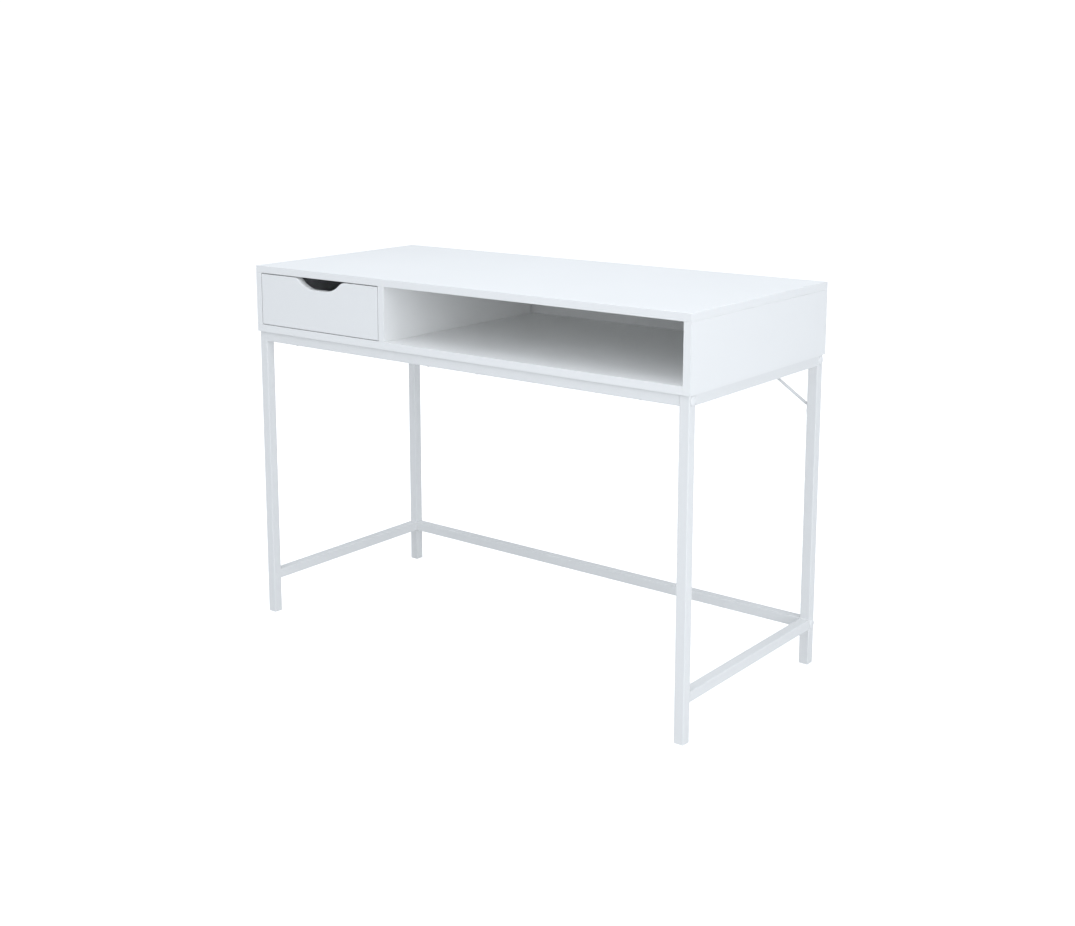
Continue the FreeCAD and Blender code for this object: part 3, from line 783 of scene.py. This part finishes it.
@dataclass
class Cabinet:
    """Worktop, side, bottom, back and dividing boards, and the fittings that hold them."""

    shop: PaintShop
    band: float = 1.0 * MM
    top_radius: float = 0.8 * MM
    hairline: float = 0.12 * MM
    board_radius: float = 0.5 * MM
    rear_gap: float = 4.0 * MM

    def build(self) -> None:
        """Make the worktop and the divider with their edge bands."""
        self.build_worktop()
        self.build_divider()

    def build_worktop(self) -> None:
        """Faced core of the worktop, and the band glued round its four edges."""
        low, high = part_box("top_panel")
        inset = Vector((self.band, self.band, 0.0))
        core = box_between(low + inset, high - inset)
        round_off(core, core.edges[:], self.hairline, 1)
        self.shop.piece("worktop_core", core, Body.DESK, WHITE_BOARD, ("top_panel",))

        ring = bmesh.new()
        bmesh.ops.create_grid(ring, x_segments=1, y_segments=1, size=0.5)
        size = high - low
        bmesh.ops.scale(ring, verts=ring.verts[:], vec=(size.x, size.y, 1.0))
        bmesh.ops.translate(ring, verts=ring.verts[:], vec=(0.0, (low.y + high.y) / 2, low.z))
        middle = ring.faces[:]
        bmesh.ops.inset_region(
            ring, faces=middle, use_boundary=True, use_even_offset=True, thickness=self.band
        )
        bmesh.ops.delete(ring, geom=middle, context="FACES")
        extrude(ring, ring.faces[:], (0.0, 0.0, size.z))

        def on_rim(vert: BMVert) -> bool:
            """Whether a corner is on the worktop's outline."""
            beside = min(abs(vert.co.x - low.x), abs(vert.co.x - high.x))
            along = min(abs(vert.co.y - low.y), abs(vert.co.y - high.y))
            return min(beside, along) < SAME

        outer = [edge for edge in ring.edges if all(on_rim(vert) for vert in edge.verts)]
        round_off(ring, outer, self.top_radius, 4)
        self.shop.piece("worktop_edge_band", ring, Body.DESK, EDGE_BAND)

    def build_divider(self) -> None:
        """Faced core of the divider, which stops just short of the back, and the band on its front edge."""
        low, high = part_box("divider_panel")
        split = low.y + self.band
        core = box_between(Vector((low.x, split, low.z)), high - Vector((0.0, self.rear_gap, 0.0)))
        round_off(core, core.edges[:], self.hairline, 1)
        self.shop.piece("divider_core", core, Body.DESK, WHITE_BOARD, ("divider_panel",))
        strip = box_between(low, Vector((high.x, split, high.z)))
        front = [e for e in strip.edges if all(abs(v.co.y - low.y) < SAME for v in e.verts)]
        round_off(strip, front, self.board_radius, 3)
        self.shop.piece("divider_edge_band", strip, Body.DESK, EDGE_BAND)

    def dress(self) -> None:
        """Finish the boards and fittings that stay as the CAD made them."""
        boards = ("left_side_panel", "right_side_panel", "bottom_panel", "back_panel")
        self.shop.dress(boards, WHITE_BOARD)
        self.shop.dress(("cabinet_dowels",), RAW_BEECH)
        self.shop.dress(("cam_locks",), CAST_ZINC)
        self.shop.dress(("cam_bolts", "divider_screws", "cabinet_screws"), PLATED_STEEL)


@dataclass(frozen=True)
class BarStation:
    """One section of a bent bar: where it is, which way the bar runs there, and how flat it is."""

    place: Vector
    heading: Vector
    half_width: float
    half_thickness: float
    squareness: float


@dataclass
class SteelFrame:
    """Square-tube legs and rails with their welds, caps, feet and rear braces."""

    shop: PaintShop
    cap_steps: int = 48
    dome_rings: int = 10
    cap_rim: float = 1.35 * MM
    cap_undercut: float = 0.45 * MM
    undercut_height: float = 0.2 * MM
    undercut_top: float = 0.35 * MM
    stem_radius: float = 5.6 * MM
    stem_depth: float = 4.0 * MM
    foot_round: float = 1.6 * MM
    foot_rim: float = 0.8 * MM
    plug_inset: float = 1.5 * MM
    plug_height: float = 14.0 * MM
    bead_radius: float = 1.5 * MM
    bead_sunk: float = 0.55 * MM
    bead_share: float = 0.92
    bead_rings: int = 28
    ripple: float = 0.07
    ripples: float = 40.0
    brace_sides: int = 24
    brace_radius: float = 3.0 * MM
    tab_half_width: float = 6.0 * MM
    tab_thickness: float = 2.4 * MM
    tab_length: float = 22.0 * MM

    def build(self) -> None:
        """Make the caps, the feet, the welds and the braces."""
        self.build_caps()
        self.build_feet()
        self.build_welds()
        self.build_braces()

    def cap_outline(self, radius: float, stand_out: float) -> list[tuple[float, float]]:
        """Outline of one bolt cap: stem, undercut, upright rim and gentle dome.

        Args:
            radius: the cap's radius.
            stand_out: how far its dome stands out from the leg.

        Returns:
            (radius, height) points from the stem's end to the dome's top.
        """
        outline = [
            (0.0, -self.stem_depth),
            (self.stem_radius, -self.stem_depth),
            (self.stem_radius, 0.0),
            (radius - self.cap_undercut, 0.0),
            (radius - self.cap_undercut, self.undercut_height),
            (radius, self.undercut_top),
            (radius, self.cap_rim),
        ]
        for number in range(1, self.dome_rings + 1):
            angle = math.radians(90.0 * number / self.dome_rings)
            rise = (stand_out - self.cap_rim) * math.sin(angle) ** 1.25
            outline.append((radius * math.cos(angle) ** 0.8, self.cap_rim + rise))
        return outline

    def build_caps(self) -> None:
        """Six domed caps over the frame bolts."""
        _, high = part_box("bolt_caps")
        leg_low, leg_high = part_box("front_right_leg")
        rail_low, rail_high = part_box("right_side_rail")
        stretcher_low, stretcher_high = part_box("right_stretcher")
        upper = (rail_low.z + rail_high.z) / 2
        lower = (stretcher_low.z + stretcher_high.z) / 2
        depth = (leg_low.y + leg_high.y) / 2
        outline = self.cap_outline(high.z - upper, high.x - leg_high.x)
        caps = bmesh.new()
        for side in (-1.0, 1.0):
            for y, z in ((depth, upper), (-depth, upper), (-depth, lower)):
                cap = turned(outline, self.cap_steps)
                place = facing(Vector((side * leg_high.x, y, z)), X_AXIS * side)
                bmesh.ops.transform(cap, matrix=place, verts=cap.verts[:])
                merge(caps, cap)
        self.shop.piece("bolt_caps_domed", caps, Body.DESK, MOULDED_PLASTIC, ("bolt_caps",))

    def build_feet(self) -> None:
        """Four insert feet: a rounded flange under the tube and a plug up inside it."""
        for corner in ("front_left", "front_right", "rear_left", "rear_right"):
            low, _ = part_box(f"{corner}_foot")
            leg_low, leg_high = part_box(f"{corner}_leg")
            flange = box_between(low, Vector((leg_high.x, leg_high.y, leg_low.z)))
            upright = [e for e in flange.edges if abs(e.verts[0].co.z - e.verts[1].co.z) > SAME]
            round_off(flange, upright, self.foot_round, 5)
            rim = [e for e in flange.edges if all(abs(v.co.z - low.z) < SAME for v in e.verts)]
            round_off(flange, rim, self.foot_rim, 3)
            lid = [f for f in flange.faces if f.normal.z > 0.99]
            bmesh.ops.inset_region(flange, faces=lid, thickness=self.plug_inset, use_even_offset=True)
            extrude(flange, lid, (0.0, 0.0, self.plug_height))
            bmesh.ops.delete(flange, geom=lid, context="FACES_ONLY")
            self.shop.piece(f"{corner}_glide", flange, Body.DESK, MOULDED_PLASTIC, (f"{corner}_foot",))

    def bead(self, length: float) -> BMesh:
        """Weld bead along +X about the origin, low at its ends and lightly rippled.

        Args:
            length: its length in metres.

        Returns:
            A new bmesh.
        """
        mesh = bmesh.new()
        bmesh.ops.create_uvsphere(mesh, u_segments=10, v_segments=self.bead_rings, radius=1.0)
        bmesh.ops.transform(mesh, matrix=QUARTER_TURN, verts=mesh.verts[:])
        for vert in mesh.verts:
            along = math.asin(max(-1.0, min(1.0, vert.co.x))) / (math.pi / 2)
            swell = 1.0 + self.ripple * math.sin(along * self.ripples)
            fullness = math.cos(along * math.pi / 2) ** -0.55 if abs(along) < 0.98 else 1.0
            thickness = self.bead_radius * swell * min(fullness, 2.2)
            vert.co.x = along * length / 2
            vert.co.y *= thickness
            vert.co.z *= thickness
        return mesh

    def build_welds(self) -> None:
        """Beads where the side rails and side stretchers meet the legs."""
        welds = bmesh.new()
        sunk = self.bead_radius - self.bead_sunk
        for member in ("left_side_rail", "right_side_rail", "left_stretcher", "right_stretcher"):
            low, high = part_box(member)
            middle = (low + high) / 2
            inner_x = high.x if middle.x < 0 else low.x
            inward = 1.0 if middle.x < 0 else -1.0
            width = high.x - low.x
            runs = [
                (Vector((inner_x - inward * sunk, 0.0, middle.z)), Z_AXIS),
                (Vector((middle.x, 0.0, low.z + sunk)), X_AXIS),
            ]
            if "stretcher" in member:
                runs.append((Vector((middle.x, 0.0, high.z - sunk)), X_AXIS))
            for y, into in ((low.y, 1.0), (high.y, -1.0)):
                for spot, line in runs:
                    bead = self.bead(width * self.bead_share)
                    if line is Z_AXIS:
                        bmesh.ops.transform(bead, matrix=QUARTER_TURN, verts=bead.verts[:])
                    place = spot + Vector((0.0, y + into * 0.2 * MM, 0.0))
                    bmesh.ops.translate(bead, verts=bead.verts[:], vec=place)
                    merge(welds, bead)
        self.shop.piece("frame_welds", welds, Body.DESK, POWDER_COAT, crease=80.0)

    def brace_stations(self) -> list[BarStation]:
        """Sections along the right-hand brace, from the tab on the leg to the tab under the rail.

        Returns:
            Stations in order along the bar.
        """
        leg_low, leg_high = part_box("rear_right_leg")
        rail_low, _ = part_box("rear_rail")
        brace_low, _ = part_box("rear_brace_right")
        y = (leg_low.y + leg_high.y) / 2
        thin = self.tab_thickness / 2
        wall_x = leg_low.x - thin
        roof_z = rail_low.z - thin
        clear = self.brace_radius + 0.1 * MM
        low_bend = Vector((leg_low.x - clear, y, brace_low.z + self.tab_length - 2.0 * MM))
        high_bend = Vector((brace_low.x + self.tab_length - 2.0 * MM, y, rail_low.z - clear))
        up, left = Z_AXIS, -X_AXIS
        slope = (high_bend - low_bend).normalized()
        low_turn = low_bend + Vector((0.6 * MM, 0.0, 1.0 * MM))
        high_turn = high_bend + Vector((-1.0 * MM, 0.0, 0.6 * MM))
        wide, slim = self.tab_half_width, self.brace_radius
        tip = ((0.0, 0.62), (0.8, 0.84), (2.2, 0.97), (4.0, 1.0))
        rows = [
            (Vector((wall_x, y, brace_low.z + run * MM)), up, wide * part, thin, 5.0) for run, part in tip
        ]
        rows += [
            (Vector((wall_x, y, brace_low.z + 15.0 * MM)), up, wide, thin, 5.0),
            (Vector((wall_x - 0.3 * MM, y, low_bend.z - 2.0 * MM)), up, wide * 0.86, thin * 1.25, 4.0),
            (low_turn, up + slope * 0.6, wide * 0.68, slim * 0.72, 3.0),
            (low_bend + slope * 4.0 * MM, slope, slim * 1.1, slim * 0.95, 2.2),
            (low_bend + slope * 10.0 * MM, slope, slim, slim, 2.0),
            (high_bend - slope * 10.0 * MM, slope, slim, slim, 2.0),
            (high_bend - slope * 4.0 * MM, slope, slim * 1.1, slim * 0.95, 2.2),
            (high_turn, left + slope * 0.6, wide * 0.68, slim * 0.72, 3.0),
            (Vector((high_bend.x - 5.0 * MM, y, roof_z - 0.3 * MM)), left, wide * 0.86, thin * 1.25, 4.0),
            (Vector((high_bend.x - 8.0 * MM, y, roof_z)), left, wide, thin, 5.0),
        ]
        rows += [
            (Vector((brace_low.x + run * MM, y, roof_z)), left, wide * part, thin, 5.0)
            for run, part in reversed(tip)
        ]
        return [BarStation(place, heading.normalized(), w, t, n) for place, heading, w, t, n in rows]

    def bar(self, stations: list[BarStation]) -> BMesh:
        """Bar through sections that go from flat to round and back, by drawing one end face along them.

        Args:
            stations: the sections in order. Each is wide along Y and thin across its heading.

        Returns:
            A new closed bmesh.
        """
        mesh = bmesh.new()
        bmesh.ops.create_circle(mesh, cap_ends=True, segments=self.brace_sides, radius=1.0)
        ring = sorted(mesh.verts, key=lambda vert: math.atan2(vert.co.y, vert.co.x))
        angles = [math.atan2(vert.co.y, vert.co.x) for vert in ring]
        face = next(iter(mesh.faces))
        for number, station in enumerate(stations):
            if number:
                grown = bmesh.ops.extrude_face_region(mesh, geom=[face])
                fresh = [part for part in grown["geom"] if isinstance(part, BMVert)]
                moved = next(part for part in grown["geom"] if isinstance(part, bmesh.types.BMFace))
                if number > 1:
                    bmesh.ops.delete(mesh, geom=[face], context="FACES_ONLY")
                face = moved
                ring = [
                    min(fresh, key=lambda vert, at=old.co.copy(): (vert.co - at).length) for old in ring
                ]
            across = station.heading.cross(Y_AXIS).normalized()
            power = 2.0 / station.squareness
            for vert, angle in zip(ring, angles):
                wide = math.copysign(abs(math.cos(angle)) ** power, math.cos(angle))
                thin = math.copysign(abs(math.sin(angle)) ** power, math.sin(angle))
                sideways = Y_AXIS * wide * station.half_width
                vert.co = station.place + sideways + across * thin * station.half_thickness
        return mesh

    def build_braces(self) -> None:
        """Slim corner braces behind, bent from round bar with flattened ends."""
        for side, hand in ((1.0, "right"), (-1.0, "left")):
            mesh = self.bar(self.brace_stations())
            bmesh.ops.scale(mesh, verts=mesh.verts[:], vec=(side, 1.0, 1.0))
            replaced = (f"rear_brace_{hand}",)
            self.shop.piece(f"corner_brace_{hand}", mesh, Body.DESK, POWDER_COAT, replaced, 50.0)

    def dress(self) -> None:
        """Finish the tubes and bolts that stay as the CAD made them."""
        legs = [f"{place}_{hand}_leg" for place in ("front", "rear") for hand in ("left", "right")]
        rails = ["left_side_rail", "right_side_rail", "front_rail", "rear_rail"]
        stretchers = ["left_stretcher", "right_stretcher", "rear_stretcher"]
        self.shop.dress(legs + rails + stretchers, POWDER_COAT)
        self.shop.dress(("frame_bolts", "rail_end_nuts", "brace_screws"), PLATED_STEEL)


@dataclass
class Drawer:
    """Drawer front with its finger notch, the drawer box and its fittings."""

    shop: PaintShop
    notch_shift: float = 4.0 * MM
    notch_top: float = 127.8 * MM
    notch_floor: float = 75.6 * MM
    notch_depth: float = 21.7 * MM
    shoulder_run: float = 7.3 * MM
    floor_run: float = 19.6 * MM
    edge_radius: float = 0.9 * MM

    def build(self) -> None:
        """Make the drawer front from its outline."""
        low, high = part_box("drawer_front")
        middle = (low.x + high.x) / 2 + self.notch_shift
        floor = high.z - self.notch_depth
        mesh = bmesh.new()
        outline = [
            (low.x, low.z),
            (high.x, low.z),
            (high.x, high.z),
            (middle + self.notch_top / 2, high.z),
            (middle + self.notch_floor / 2, floor),
            (middle - self.notch_floor / 2, floor),
            (middle - self.notch_top / 2, high.z),
            (low.x, high.z),
        ]
        corners = [mesh.verts.new((x, low.y, z)) for x, z in outline]
        sides = [mesh.edges.new(pair) for pair in zip(corners, corners[1:] + corners[:1])]
        bmesh.ops.contextual_create(mesh, geom=sides)
        round_off(mesh, (corners[3], corners[6]), self.shoulder_run, 10, "VERTICES")
        round_off(mesh, (corners[4], corners[5]), self.floor_run, 18, "VERTICES")
        extrude(mesh, mesh.faces[:], (0.0, high.y - low.y, 0.0))
        bmesh.ops.recalc_face_normals(mesh, faces=mesh.faces[:])
        rims = [
            e
            for e in mesh.edges
            if any(all(abs(v.co.y - face) < SAME for v in e.verts) for face in (low.y, high.y))
        ]
        round_off(mesh, rims, self.edge_radius, 3)
        self.shop.piece("drawer_face", mesh, Body.DRAWER, EDGE_BAND, ("drawer_front",))

    def dress(self) -> None:
        """Finish the boards and fittings that stay as the CAD made them."""
        self.shop.dress(("drawer_left_side", "drawer_right_side", "drawer_back"), DRAWER_FOIL)
        low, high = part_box("drawer_bottom")
        hardboard = LacqueredHardboard(
            name="lacquered_hardboard",
            slot="hardboard",
            colour=(0.862, 0.874, 0.892, 1.0),
            wear_and_shade_colour=(0.5, 0.4, 0.3, 1.0),
            roughness=0.34,
            gloss_swing=0.06,
            skin_size=0.0016,
            skin_depth=0.00003,
            cloud_size=0.06,
            cloud_strength=0.05,
            dust=0.1,
            parting_height=low.z + 0.9 * (high.z - low.z),
        )
        self.shop.dress(("drawer_bottom",), hardboard)
        self.shop.dress(("drawer_dowels",), RAW_BEECH)
        self.shop.dress(("drawer_cam_locks",), CAST_ZINC)
        self.shop.dress(("drawer_cam_bolts", "drawer_back_screws", "drawer_bottom_screws"), PLATED_STEEL)


@dataclass
class Runners:
    """Roller runners under the drawer's sides."""

    shop: PaintShop

    def dress(self) -> None:
        """Finish the channels, rollers, axles and screws."""
        channels = ("left_runner", "right_runner", "drawer_left_runner", "drawer_right_runner")
        self.shop.dress(channels, RUNNER_COAT)
        holders = ("cabinet", "drawer")
        rollers = [f"{side}_{holder}_roller" for side in ("left", "right") for holder in holders]
        self.shop.dress(rollers, NATURAL_NYLON)
        fixings = ("runner_screws", "runner_axles", "drawer_runner_screws", "drawer_runner_axles")
        self.shop.dress(fixings, PLATED_STEEL)


@dataclass(frozen=True)
class Softbox:
    """A square soft light."""

    name: str
    place: Triple
    target: Triple
    size: float
    watts: float


@dataclass
class Studio:
    """Plain pale floor, plain soft light and the camera.

    The open shelf is lit mostly by light that has bounced, so the light bounces more than it usually would.
    """

    floor_size: float = 60.0
    sky_strength: float = 0.54
    backdrop_strength: float = 1.1
    sky_colour: Colour = (0.943, 1.0, 1.066, 1.0)
    floor_grey: float = 0.75
    floor_lift: float = 0.85
    camera_place: Triple = (1.7557, -2.2509, 1.1211)
    camera_yaw: float = 39.681
    camera_pitch: float = 9.8
    camera_roll: float = -0.334
    lens: float = 48.9
    shift: tuple[float, float] = (0.05, -0.12)
    bounces: int = 12
    lamp_colour: Triple = (0.962, 1.0, 1.046)
    softboxes: tuple[Softbox, ...] = (
        Softbox("overhead_softbox", (0.2, -0.2, 3.2), (0.0, 0.0, 0.6), 3.0, 36.0),
        Softbox("front_softbox", (-0.9, -2.6, 3.4), (0.0, 0.0, 0.6), 2.6, 28.0),
        Softbox("right_softbox", (3.2, -1.0, 1.5), (0.0, 0.0, 0.45), 2.0, 28.0),
        Softbox("low_softbox", (3.0, -2.8, 1.3), (0.0, 0.0, 0.5), 2.0, 21.0),
    )

    def build(self) -> None:
        """Make the floor, the sky, the lights and the camera."""
        self.build_floor()
        self.build_sky()
        for box in self.softboxes:
            self.hang(box)
        self.place_camera()
        scene = bpy.context.scene
        scene.view_settings.view_transform = "Standard"
        scene.cycles.diffuse_bounces = self.bounces
        scene.cycles.max_bounces = self.bounces + 2

    def build_floor(self) -> None:
        """Pale floor that runs past the view on every side."""
        mesh = bmesh.new()
        bmesh.ops.create_grid(mesh, x_segments=1, y_segments=1, size=self.floor_size / 2)
        data = bpy.data.meshes.new("floor")
        mesh.to_mesh(data)
        mesh.free()
        material = bpy.data.materials.new("pale_floor")
        material.use_nodes = True
        graph = Graph(material.node_tree)
        seen = graph.add("ShaderNodeLightPath").outputs["Is Camera Ray"]
        place = graph.add("ShaderNodeTexCoord").outputs["Object"]
        mottle = graph.spread(graph.noise(place, 1.5, 3.0), 0.99, 1.01)
        grey = (self.floor_grey, self.floor_grey, self.floor_grey, 1.0)
        shader = graph.add(
            "ShaderNodeBsdfPrincipled",
            {
                "Base Color": graph.shade(grey, mottle),
                "Roughness": 0.9,
                "Specular IOR Level": 0.1,
                "Emission Color": (1.0, 1.0, 1.0, 1.0),
                "Emission Strength": graph.math("MULTIPLY", seen, self.floor_lift),
            },
        )
        graph.add("ShaderNodeOutputMaterial", {"Surface": shader.outputs["BSDF"]})
        data.materials.append(material)
        floor = bpy.data.objects.new("floor", data)
        bpy.context.scene.collection.objects.link(floor)

    def build_sky(self) -> None:
        """Even white surround, a little brighter where it is seen than where it lights."""
        world = bpy.data.worlds.new("studio")
        world.use_nodes = True
        graph = Graph(world.node_tree)
        seen = graph.add("ShaderNodeLightPath").outputs["Is Camera Ray"]
        strength = graph.spread(seen, self.sky_strength, self.backdrop_strength)
        back = graph.add("ShaderNodeBackground", {"Color": self.sky_colour, "Strength": strength})
        graph.add("ShaderNodeOutputWorld", {"Surface": back.outputs["Background"]})
        bpy.context.scene.world = world

    def hang(self, box: Softbox) -> None:
        """Hang one softbox so that it faces its target."""
        data = bpy.data.lights.new(box.name, "AREA")
        data.shape = "SQUARE"
        data.size = box.size
        data.energy = box.watts
        data.color = self.lamp_colour
        light = bpy.data.objects.new(box.name, data)
        aim = Vector(box.target) - Vector(box.place)
        turn = aim.to_track_quat("-Z", "Y").to_matrix().to_4x4()
        light.matrix_world = Matrix.Translation(box.place) @ turn
        bpy.context.scene.collection.objects.link(light)

    def place_camera(self) -> None:
        """Put the camera in front of the desk's open end, above the worktop."""
        data = bpy.data.cameras.new("camera")
        data.lens = self.lens
        data.sensor_width = 36.0
        data.sensor_fit = "HORIZONTAL"
        data.shift_x, data.shift_y = self.shift
        data.clip_end = 200.0
        camera = bpy.data.objects.new("camera", data)
        turn = Matrix.Rotation(math.radians(self.camera_yaw), 4, "Z")
        tilt = Matrix.Rotation(math.radians(90.0 - self.camera_pitch), 4, "X")
        roll = Matrix.Rotation(math.radians(self.camera_roll), 4, "Z")
        camera.matrix_world = Matrix.Translation(self.camera_place) @ turn @ tilt @ roll
        bpy.context.scene.collection.objects.link(camera)
        bpy.context.scene.camera = camera


def main() -> None:
    """Build and dress each sub-assembly in order, then the studio."""
    logging.basicConfig(level=logging.INFO, format="%(name)s: %(message)s")
    shop = PaintShop()
    for assembly in (Cabinet(shop), SteelFrame(shop), Drawer(shop)):
        assembly.build()
        assembly.dress()
    Runners(shop).dress()
    Studio().build()


if __name__ == "__main__":
    main()
